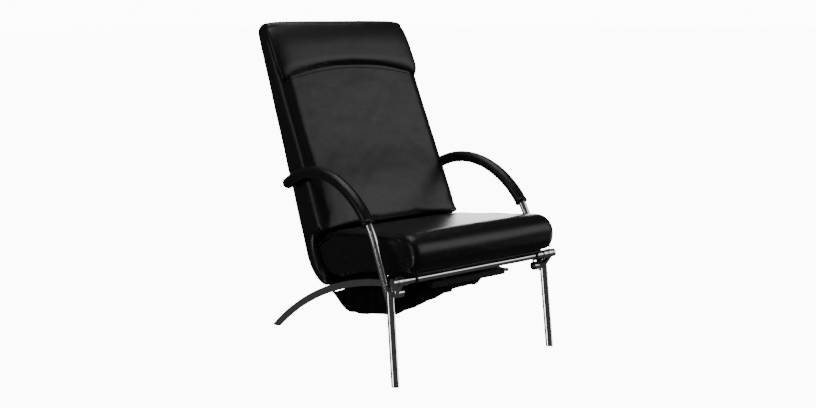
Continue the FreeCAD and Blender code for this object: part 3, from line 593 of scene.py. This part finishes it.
def ripple(piece, height, spread, seed):
    """Low, soft unevenness that breaks up the reflections of a hand-upholstered cover."""
    shift = Vector((seed, 2.7 * seed, 5.1 * seed))
    normals = [vertex.normal.copy() for vertex in piece.data.vertices]
    for vertex, normal in zip(piece.data.vertices, normals):
        value = noise.noise(vertex.co / (spread * MM) + shift)
        value += FINE_RIPPLE[1] * noise.noise(vertex.co / (FINE_RIPPLE[0] * spread * MM) - shift)
        vertex.co += normal * value * height * MM
    piece.data.update()


def upholster(piece, seed, voxel, rounds, pressure, cap, height):
    """Turns a plain closed form into a filled leather cover. seed moves its ripples."""
    remesh(piece, voxel)
    relax(piece, rounds)
    inflate(piece, pressure, cap)
    relax(piece, SETTLE_ROUNDS)
    ripple(piece, height, RIPPLE_SPREAD, seed)
    finer = piece.modifiers.new("finer", "SUBSURF")
    finer.levels = 1
    finer.render_levels = 1
    bake_modifiers(piece)


def outline_normals(outline):
    """Outward unit normals of a closed side-view outline, by the sense of its turning."""
    count = len(outline)
    area = sum(
        outline[i][0] * outline[(i + 1) % count][1] - outline[(i + 1) % count][0] * outline[i][1]
        for i in range(count)
    )
    sense = math.copysign(1, area)
    normals = []
    for i in range(count):
        before, after = outline[i - 1], outline[(i + 1) % count]
        run = (after[0] - before[0], after[1] - before[1])
        length = math.hypot(*run)
        normals.append((sense * run[1] / length, -sense * run[0] / length))
    return normals


def even_outline(outline, spacing):
    """The same closed outline with points evenly spaced along it."""
    closed = list(outline) + [outline[0]]
    even = []
    carry = 0.0
    for here, there in zip(closed, closed[1:]):
        length = math.hypot(there[0] - here[0], there[1] - here[1])
        place = carry
        while place < length:
            t = place / length
            even.append((here[0] + (there[0] - here[0]) * t, here[1] + (there[1] - here[1]) * t))
            place += spacing
        carry = place - length
    return even


def ring_faces(ring_count, size):
    """Faces of a closed form made of rings of points, with a face over each end."""
    faces = []
    for ring in range(ring_count - 1):
        for i in range(size):
            j = (i + 1) % size
            faces.append((ring * size + i, ring * size + j, (ring + 1) * size + j, (ring + 1) * size + i))
    faces.append(tuple(reversed(range(size))))
    faces.append(tuple(range((ring_count - 1) * size, ring_count * size)))
    return faces


def loft(name, outline, half_width, edge_radius, crown):
    """A closed form across the chair whose outline draws in at both sides, as a boxed cushion's does."""
    outline = even_outline(outline, OUTLINE_STEP)
    normals = outline_normals(outline)
    rings = [(-1, 1 - i / EDGE_STEPS) for i in range(EDGE_STEPS + 1)]
    rings += [(0, i / FLAT_STEPS) for i in range(1, FLAT_STEPS)]
    rings += [(1, i / EDGE_STEPS) for i in range(EDGE_STEPS + 1)]
    points = []
    for side, share in rings:
        for (y, z), normal in zip(outline, normals):
            half = half_width(z)
            radius = edge_radius(y, z)
            if side == 0:
                x = (half - radius) * (2 * share - 1)
                inset = 0.0
            else:
                angle = math.pi / 2 * share
                x = side * (half - radius + radius * math.sin(angle))
                inset = radius * (1 - math.cos(angle))
            inset -= crown(x / half, y, z)
            points.append(at(x, y - normal[0] * inset, z - normal[1] * inset))
    return make_object(name, points, ring_faces(len(rings), len(outline)), LEATHER)


def sweep(name, path, radius, material, sides):
    """A round closed tube along 3D points. radius is a number in mm or a function of the share along."""
    total = len(path)
    points = []
    across = None
    for i, place in enumerate(path):
        forward = (path[min(i + 1, total - 1)] - path[max(i - 1, 0)]).normalized()
        if across is None:
            across = forward.orthogonal().normalized()
        across = (across - forward * across.dot(forward)).normalized()
        up = forward.cross(across)
        size = (radius(i / (total - 1)) if callable(radius) else radius) * MM
        for number in range(sides):
            angle = 2 * math.pi * number / sides
            points.append(place + (across * math.cos(angle) + up * math.sin(angle)) * size)
    return make_object(name, points, ring_faces(total, sides), material)


def drop_on(surface, start, direction, sink):
    """Where a ray from outside meets a cover, sunk a little into it."""
    hit = surface.ray_cast(start, direction)[0]
    if hit is None:
        return None
    return hit + direction * sink * MM


def finish_piece(piece, body):
    """Lets the piece ride on its body."""
    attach(piece, body)
    return piece


# Seat


def seat_outline():
    """The cushion from the side: a full bull nose, a flat crown and a square-cut rear."""
    foot = [(y, board_z(y) + above) for y, above in SEAT_FOOT]
    return smooth_line(SEAT_NOSE, CURVE_STEPS["seat_nose"]) + SEAT_TOP + foot


def board_z(y):
    """Height of the seat board's top at y."""
    return BOARD_FRONT_Z - BOARD_SLOPE * y


def seat_crown(across, y, z):
    """Raises the top a little in the middle and leaves the underside flat."""
    if z < board_z(y) + SEAT_FLAT_RISE:
        return 0.0
    return SEAT_CROWN * (1 - across * across)


def build_seat_cushion():
    """The seat's crowned cushion under its leather cover."""
    piece = loft(
        "seat_cushion_leather", seat_outline(), lambda z: SEAT_HALF,
        lambda y, z: SEAT_EDGE_R, seat_crown,
    )
    upholster(piece, 1.0, **SEAT_STUFFING)
    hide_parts("seat_cushion")
    return finish_piece(piece, "seat")


def panel_top():
    """The side panel's upper edge, from the front to the rear."""
    return smooth_line(PANEL_TOP, CURVE_STEPS["panel"])


def build_side_panel(name, side):
    """A thin padded leather panel along the seat's side."""
    outline = even_outline(panel_top() + PANEL_BOTTOM, OUTLINE_STEP)
    normals = outline_normals(outline)
    points = []
    for x, inset in PANEL_RINGS:
        for (y, z), normal in zip(outline, normals):
            points.append(at(side * x, y - normal[0] * inset, z - normal[1] * inset))
    faces = ring_faces(len(PANEL_RINGS), len(outline))
    piece = make_object("seat_side_leather_" + name, points, faces, LEATHER)
    upholster(piece, 2.0 + side, **PANEL_STUFFING)
    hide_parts("seat_side_panel_" + name)
    return finish_piece(piece, "seat")


def build_panel_piping(name, side):
    """The corded seam where the seat's top joins its side panel."""
    along, up = PIPING_SHIFT
    path = [at(side * PIPING_X, y + along, z + up) for y, z in panel_top()]
    piece = sweep("seat_piping_" + name, path, PIPING_R, LEATHER, sides=12)
    return finish_piece(piece, "seat")


def build_seat_hem():
    """The folded lower edge of the seat's front."""
    y, z = HEM_SPOT
    across = range(-HEM_HALF, HEM_HALF + 1, HEM_STEP)
    path = [at(x, y + HEM_TURN * (abs(x) / HEM_HALF) ** 6, z) for x in across]
    piece = sweep("seat_front_hem", path, HEM_R, LEATHER, sides=12)
    return finish_piece(piece, "seat")


# Back


def back_half(z):
    """Half the back's width at a height."""
    share = (z - BACK_TAPER_Z[0]) / (BACK_TAPER_Z[1] - BACK_TAPER_Z[0])
    return BACK_HALF_LOW + (BACK_HALF_TOP - BACK_HALF_LOW) * min(max(share, 0.0), 1.0)


def front_line(z):
    """The y of the back's front face at a height."""
    return SEAM_FOOT[0] + (z - SEAM_FOOT[1]) * math.tan(math.radians(BACK_LEAN))


def back_outline():
    """The back from the side: a leaning slab that wraps round under the seat's rear."""
    front = [BACK_FOOT] + [(front_line(z), z) for z in BACK_FRONT_Z]
    top = smooth_line(BACK_TOP, CURVE_STEPS["back_top"])
    tangent = polar(PIVOT, WRAP_OUTER_R, REAR_LEAN)
    lean = math.tan(math.radians(REAR_LEAN))
    rear = [(tangent[0] + lean * (z - tangent[1]), z) for z in BACK_REAR_Z]
    outer = arc(PIVOT, WRAP_OUTER_R, REAR_LEAN, WRAP_LIP_ANGLE, 10)
    middle = (WRAP_OUTER_R + WRAP_LIP_INNER_R) / 2
    near, far = WRAP_LIP_TURN
    lip = [
        polar(PIVOT, WRAP_OUTER_R - WRAP_LIP_ROUND, WRAP_LIP_ANGLE + near),
        polar(PIVOT, middle, WRAP_LIP_ANGLE + far),
        polar(PIVOT, WRAP_LIP_INNER_R + WRAP_LIP_ROUND, WRAP_LIP_ANGLE + near),
    ]
    inner = []
    for angle in range(int(WRAP_LIP_ANGLE), WRAP_FRONT_ANGLE, WRAP_STEP):
        thinner = max(angle - WRAP_THIN_FROM, 0) / (WRAP_LIP_ANGLE - WRAP_THIN_FROM)
        radius = WRAP_INNER_R + (WRAP_LIP_INNER_R - WRAP_INNER_R) * thinner
        inner.append(polar(PIVOT, radius, angle))
    return front + top + rear + outer + lip + inner + [BACK_INNER_END]


def back_edge(y, z):
    """Full, round front edges, tighter rear edges and a thinner lip under the seat."""
    depth, fade = FRONT_EDGE_DEPTH
    low, rise = FRONT_EDGE_Z
    front = smooth_step((front_line(z) + depth - y) / fade) * smooth_step((z - low) / rise)
    rear = BACK_REAR_EDGE_R if z > LIP_EDGE_Z else BACK_LIP_EDGE_R
    return rear + (BACK_EDGE_R - rear) * front


def back_crown(across, y, z):
    """Fills the front panel between its sides, most at the small of the back."""
    if z < BACK_CROWN_Z or y > front_line(z) + BACK_CROWN_DEPTH:
        return 0.0
    lumbar = math.exp(-((z - LUMBAR_Z) / LUMBAR_REACH) ** 2)
    return (BACK_CROWN + LUMBAR_CROWN * lumbar) * (1 - across ** 4)


def build_back():
    """The back's shell and cushion under one leather cover."""
    piece = loft("back_leather", back_outline(), back_half, back_edge, back_crown)
    upholster(piece, 4.0, **BACK_STUFFING)
    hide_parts("back_shell", "back_cushion")
    return finish_piece(piece, "back")


def seam_height(across):
    """How far up the back the pillow's lower seam lies above its two ends."""
    return PILLOW_ARCH * (1 - across * across)


def on_front(along, out):
    """A side-view point measured up the front face from the seam's end, and out from the face."""
    lean = math.radians(BACK_LEAN)
    y = SEAM_FOOT[0] + along * math.sin(lean) - out * math.cos(lean)
    z = SEAM_FOOT[1] + along * math.cos(lean) + out * math.sin(lean)
    return y, z


def pillow_section(across):
    """The pillow from the side at one place across: seam, full front, rounded top and hidden inner face."""
    foot = seam_height(across)
    swell = math.sqrt(max(1 - abs(across) ** 8, 0.0))
    full = PILLOW_HEIGHT * (PILLOW_END_SHARE + (1 - PILLOW_END_SHARE) * swell)
    front = []
    for i in range(PILLOW_FRONT_POINTS):
        t = i / (PILLOW_FRONT_POINTS - 1)
        along = foot + (PILLOW_LENGTH - foot) * t
        out = full * math.sin(math.pi / 2 * min(t / PILLOW_FILL_BY, 1.0)) ** 0.7
        out -= PILLOW_LEAN_BACK * (max(t - 0.5, 0) / 0.5) ** 2
        front.append(on_front(along, out - PILLOW_SINK))
    drop = PILLOW_TOP_DROP * (1 - swell)
    top = [(y, z - drop) for y, z in PILLOW_TOP]
    inner = [on_front(foot + (PILLOW_LENGTH - foot) * t, -PILLOW_DEPTH) for t in PILLOW_INNER_PLACES]
    return front + top + PILLOW_INNER_TOP + inner


def pillow_corner(z):
    """How far the pillow's ends draw in towards its top and its foot."""
    high = max(z - PILLOW_HIGH_CORNER[0], 0) / PILLOW_HIGH_CORNER[1]
    low = max(PILLOW_LOW_CORNER[0] - z, 0) / PILLOW_LOW_CORNER[1]
    return PILLOW_CORNER * (high ** 2 + PILLOW_LOW_SHARE * low ** 2)


def build_pillow():
    """The headrest pillow, closed at both ends by its narrow outermost sections."""
    half = back_half(PILLOW_WIDTH_Z) + PILLOW_OVERHANG
    points = []
    for i in range(PILLOW_STATIONS + 1):
        across = -math.cos(math.pi * i / PILLOW_STATIONS)
        section = pillow_section(across)
        points += [at(across * (half - pillow_corner(z)), y, z) for y, z in section]
    faces = ring_faces(PILLOW_STATIONS + 1, len(section))
    piece = make_object("headrest_pillow_leather", points, faces, LEATHER)
    upholster(piece, 6.0, **PILLOW_STUFFING)
    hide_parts("headrest_pillow")
    return finish_piece(piece, "back")


def build_pillow_seam(back):
    """A stitched cord along the arched foot of the pillow."""
    surface = BVHTree.FromObject(back, bpy.context.evaluated_depsgraph_get())
    lean = math.radians(BACK_LEAN)
    inward = Vector((0, math.cos(lean), -math.sin(lean)))
    half = back_half(PILLOW_SEAM_Z) - PILLOW_SEAM_INSET
    path = []
    for i in range(PILLOW_SEAM_POINTS + 1):
        across = -1 + 2 * i / PILLOW_SEAM_POINTS
        start = at(across * half, *on_front(seam_height(across) - PILLOW_SEAM_DROP, RAY_REACH))
        spot = drop_on(surface, start, inward, PILLOW_SEAM_SINK)
        if spot is not None:
            path.append(spot)
    piece = sweep("pillow_seam", path, PILLOW_SEAM_R, THREAD, sides=10)
    return finish_piece(piece, "back")


# Arms


def arm_line():
    """The sleeve's centre line from its rear end to its cuff."""
    line = []
    turn = math.radians(ARM_KNEE_SLOPE)
    knee = (ARM_CENTRE[0] - (ARM_TOP_R - ARM_KNEE_R) * math.sin(turn),
            ARM_CENTRE[1] + (ARM_TOP_R - ARM_KNEE_R) * math.cos(turn))
    last = ARM_KNEE_SLOPE + SLEEVE_KNEE_TURN
    for i in range(ARM_POINTS + 1):
        slope = -ARM_REAR_SLOPE + (last + ARM_REAR_SLOPE) * i / ARM_POINTS
        centre, radius = (ARM_CENTRE, ARM_TOP_R) if slope < ARM_KNEE_SLOPE else (knee, ARM_KNEE_R)
        angle = math.radians(slope)
        line.append((centre[0] - radius * math.sin(angle), centre[1] + radius * math.cos(angle)))
    return line


def build_sleeve(name, side):
    """A leather sleeve drawn over the arm, with a domed rear end and a rolled cuff."""
    line = arm_line()
    rear = math.radians(ARM_REAR_SLOPE)
    dome = []
    for i in range(SLEEVE_DOME_RINGS):
        angle = math.pi / 2 * i / SLEEVE_DOME_RINGS
        reach = SLEEVE_DOME * math.cos(angle)
        y, z = line[0][0] + reach * math.cos(rear), line[0][1] - reach * math.sin(rear)
        dome.append((y, z, math.sin(angle)))
    rings = [(y, z, SLEEVE_R * max(share, SLEEVE_TIP_SHARE)) for y, z, share in dome]
    rings += [(y, z, SLEEVE_R) for y, z in line[:-3]]
    end, before = line[-1], line[-2]
    run = (end[0] - before[0], end[1] - before[1])
    length = math.hypot(*run)
    forward = (run[0] / length, run[1] / length)
    for along, radius in CUFF:
        rings.append((end[0] + forward[0] * along, end[1] + forward[1] * along, radius))
    path = [at(side * ARM_X, y, z) for y, z, _ in rings]
    sizes = [radius for _, _, radius in rings]
    piece = sweep(
        "arm_sleeve_leather_" + name, path,
        lambda share: sizes[round(share * (len(sizes) - 1))], LEATHER, sides=40,
    )
    ripple(piece, SLEEVE_RIPPLE, SLEEVE_RIPPLE_SPREAD, 8.0 + side)
    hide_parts("arm_sleeve_" + name)
    return finish_piece(piece, "frame")


def build_sleeve_seam(name, side):
    """The closing seam along the sleeve's inner underside."""
    across, under = SLEEVE_SEAM_WAY
    path = []
    for y, z in arm_line()[2:-3]:
        outward = Vector((0, y - ARM_CENTRE[0], z - ARM_CENTRE[1])).normalized()
        inward = Vector((-side * across, 0, 0)) - outward * under
        path.append(at(side * ARM_X, y, z) + inward.normalized() * (SLEEVE_R + SLEEVE_SEAM_LIFT) * MM)
    piece = sweep("arm_sleeve_seam_" + name, path, SLEEVE_SEAM_R, THREAD, sides=8)
    return finish_piece(piece, "frame")


# Dust cover


def cover_line():
    """The cover from the side: its front hem under the board, the sagging belly and the rear hem."""
    return smooth_line(COVER_FRONT + COVER_BELLY, CURVE_STEPS["cover"])


def cover_top(y):
    """Height of the cover's side edge: under the board, then cut down to clear the back's lip."""
    high = board_z(y) - COVER_TOP_DROP
    if y <= COVER_WALL_Y:
        return high
    low = PIVOT[1] - math.sqrt(COVER_REAR_R ** 2 - (max(y, COVER_OPEN_Y) - PIVOT[0]) ** 2)
    share = min((y - COVER_WALL_Y) / (COVER_OPEN_Y - COVER_WALL_Y), 1.0)
    return high + (low - high) * share


def cover_half(y, side):
    """Half the cover's width, which reaches its full size sooner at the sitter's right."""
    full_y = COVER_FULL_WIDTH_Y[0] if side > 0 else COVER_FULL_WIDTH_Y[1]
    share = min(max((y - COVER_FRONT_Y) / (full_y - COVER_FRONT_Y), 0.0), 1.0)
    return COVER_HALF[0] + (COVER_HALF[1] - COVER_HALF[0]) * share


def rising(value, edge):
    """Eases from 0 to 1 over a width that begins at a start: edge is (start, width)."""
    return smooth_step((value - edge[0]) / edge[1])


def falling(value, edge):
    """Eases from 1 to 0 over a width that ends at an end: edge is (end, width)."""
    return smooth_step((edge[0] - value) / edge[1])


def cover_low(y, low, across):
    """The cover's underside, lower at the sitter's right and lifted at the left."""
    right = smooth_step((-across - COVER_RIGHT_EDGE[0]) / COVER_RIGHT_EDGE[1])
    low -= right * COVER_DROP[0] * rising(y, COVER_DROP_FROM) * falling(y, COVER_DROP_TO)
    low -= right * COVER_DROP[1] * rising(y, COVER_REAR_DROP_FROM)
    left = smooth_step((across + COVER_LEFT_EDGE[0]) / COVER_LEFT_EDGE[1])
    return low + left * COVER_LIFT * rising(y, COVER_LIFT_FROM) * falling(y, COVER_LIFT_TO)


def cover_point(y, low, across):
    """One point of the cloth across the chair, between its two side hems at -1 and 1."""
    side = math.copysign(1, across)
    half = cover_half(y, side)
    wall = max(cover_top(y) - low, 1.0)
    reach = abs(across)
    low = cover_low(y, low, across)
    corner_r = min(COVER_CORNER_R, wall)
    rise = max(reach - COVER_FLOOR_SHARE, 0.0) / (1 - COVER_FLOOR_SHARE)
    foot = COVER_FOOT_LEFT if across > 0 else 1.0
    x = side * min(reach / COVER_FLOOR_SHARE, 1.0) * half * (foot + (1 - foot) * rise)
    z = low + wall * rise
    corner = math.exp(-((reach - COVER_FLOOR_SHARE) / COVER_CORNER_SPREAD) ** 2)
    x -= side * COVER_CORNER_CUT * corner_r * corner
    z += COVER_CORNER_CUT * corner_r * corner
    free = min(1.0, (1 - reach) / COVER_HEM_SHARE)
    broad, small = (noise.noise(Vector((x / a, y / b, c))) for a, b, c in COVER_SAG_SPREAD)
    sag = broad + 0.5 * small
    wander = COVER_PLEAT_WANDER * noise.noise(Vector((0.4, y / 60, z / 50)))
    pleat = math.sin(y / COVER_PLEAT_PITCH + wander) * rise * (1 - rise) * 4
    wander = COVER_DRAPE_WANDER * noise.noise(Vector((x / 70, y / 80, 1.3)))
    drape = math.sin((x + COVER_DRAPE_SLANT * side * y) / COVER_DRAPE_PITCH + wander)
    upright = min(rise * 3, 1)
    inset, pleated, sagged = COVER_WALL_WAVES
    x -= side * upright * free * (inset + pleated * pleat + sagged * sag)
    z += (1 - upright) * free * (COVER_BELLY_WAVES[0] * sag + COVER_BELLY_WAVES[1] * drape)
    z -= COVER_BELLY_SAG * (1 - rise) * min(reach / COVER_FLOOR_SHARE, 1.0) ** 2 * free
    return at(x, y, z)


def build_dust_cover():
    """Loose black lining hung in a bag under the seat, its slack gathered in soft folds."""
    line = cover_line()
    columns = COVER_COLUMNS
    points = []
    for y, low in line:
        points += [cover_point(y, low, 2 * j / columns - 1) for j in range(columns + 1)]
    faces = []
    for i in range(len(line) - 1):
        for j in range(columns):
            start = i * (columns + 1) + j
            faces.append((start, start + 1, start + columns + 2, start + columns + 1))
    piece = make_object("dust_cover_cloth", points, faces, CLOTH)
    thick = piece.modifiers.new("thickness", "SOLIDIFY")
    thick.thickness = COVER_THICKNESS * MM
    bake_modifiers(piece)
    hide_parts("dust_cover")
    return finish_piece(piece, "seat")


# Stage


def build_floor():
    """A wide floor that neither lights the chair nor shows in it."""
    corners = [(x * FLOOR_SIZE, y * FLOOR_SIZE, 0) for x, y in ((-1, -1), (1, -1), (1, 1), (-1, 1))]
    floor = make_object("studio_floor", corners, [(0, 1, 2, 3)], pale_floor(), smooth=False)
    floor.visible_glossy = False
    floor.visible_diffuse = False


def build_camera():
    """Looks at the chair from its front right, a little from above."""
    azimuth, elevation = math.radians(CAMERA_AZIMUTH), math.radians(CAMERA_ELEVATION)
    back = Vector((
        math.sin(azimuth) * math.cos(elevation),
        -math.cos(azimuth) * math.cos(elevation),
        math.sin(elevation),
    ))
    data = bpy.data.cameras.new("camera")
    data.lens = CAMERA_LENS
    data.sensor_width = SENSOR_WIDTH
    data.clip_end = VIEW_DISTANCE
    camera = bpy.data.objects.new("camera", data)
    camera.location = at(*CAMERA_PLACE)
    camera.rotation_euler = back.to_track_quat("Z", "Y").to_euler()
    bpy.context.scene.collection.objects.link(camera)
    bpy.context.scene.camera = camera


def area_light(name, place, aim, size, power):
    """A rectangular lamp at a place, turned towards another."""
    data = bpy.data.lights.new(name, "AREA")
    data.shape = "RECTANGLE"
    data.size, data.size_y = size
    data.energy = power
    lamp = bpy.data.objects.new(name, data)
    lamp.location = place
    direction = Vector(aim) - Vector(place)
    lamp.rotation_euler = direction.to_track_quat("-Z", "Y").to_euler()
    bpy.context.scene.collection.objects.link(lamp)


def add_glare(nodes, links, way, before, glare):
    """Adds one bright patch of the studio, with soft edges between two cosines from its direction."""
    direction, (edge, core), strength = glare
    towards = add(nodes, "ShaderNodeVectorMath", operation="DOT_PRODUCT")
    towards.inputs[1].default_value = Vector(direction).normalized()
    links.new(way, towards.inputs[0])
    patch = add(nodes, "ShaderNodeMapRange", interpolation_type="SMOOTHSTEP")
    patch.inputs["From Min"].default_value = edge
    patch.inputs["From Max"].default_value = core
    patch.inputs["To Max"].default_value = strength
    links.new(towards.outputs["Value"], patch.inputs["Value"])
    total = add(nodes, "ShaderNodeMath", operation="ADD")
    total.inputs[1].default_value = STUDIO_DARK
    links.new(patch.outputs["Result"], total.inputs[0])
    if before is not None:
        links.new(before, total.inputs[1])
    return total.outputs["Value"]


def build_world():
    """A white backdrop, and a studio that is dark but for a few soft bright patches."""
    world = bpy.data.worlds.new("studio")
    bpy.context.scene.world = world
    world.use_nodes = True
    nodes, links = world.node_tree.nodes, world.node_tree.links
    background = nodes["Background"]
    way = nodes.new("ShaderNodeTexCoord").outputs["Generated"]
    light = None
    for glare in GLARES:
        light = add_glare(nodes, links, way, light, glare)
    path = nodes.new("ShaderNodeLightPath")
    pick = add(nodes, "ShaderNodeMix", data_type="FLOAT")
    links.new(path.outputs["Is Camera Ray"], pick.inputs["Factor"])
    links.new(light, pick.inputs[2])
    pick.inputs[3].default_value = BACKDROP
    links.new(pick.outputs[0], background.inputs["Strength"])
    background.inputs["Color"].default_value = (1.0, 1.0, 1.0, 1.0)


def build_lights():
    """A large softbox above and a narrow strip at the sitter's right."""
    area_light("overhead_softbox", **SOFTBOX)
    area_light("left_strip", **STRIP)


def main():
    """Builds the studio, then the pieces over the CAD solids."""
    build_world()
    build_lights()
    build_camera()
    build_floor()
    dress_cad_nodes()
    build_seat_cushion()
    for name, side in SIDES.items():
        build_side_panel(name, side)
        build_panel_piping(name, side)
        build_sleeve(name, side)
        build_sleeve_seam(name, side)
    build_seat_hem()
    back = build_back()
    build_pillow()
    build_pillow_seam(back)
    build_dust_cover()


main()
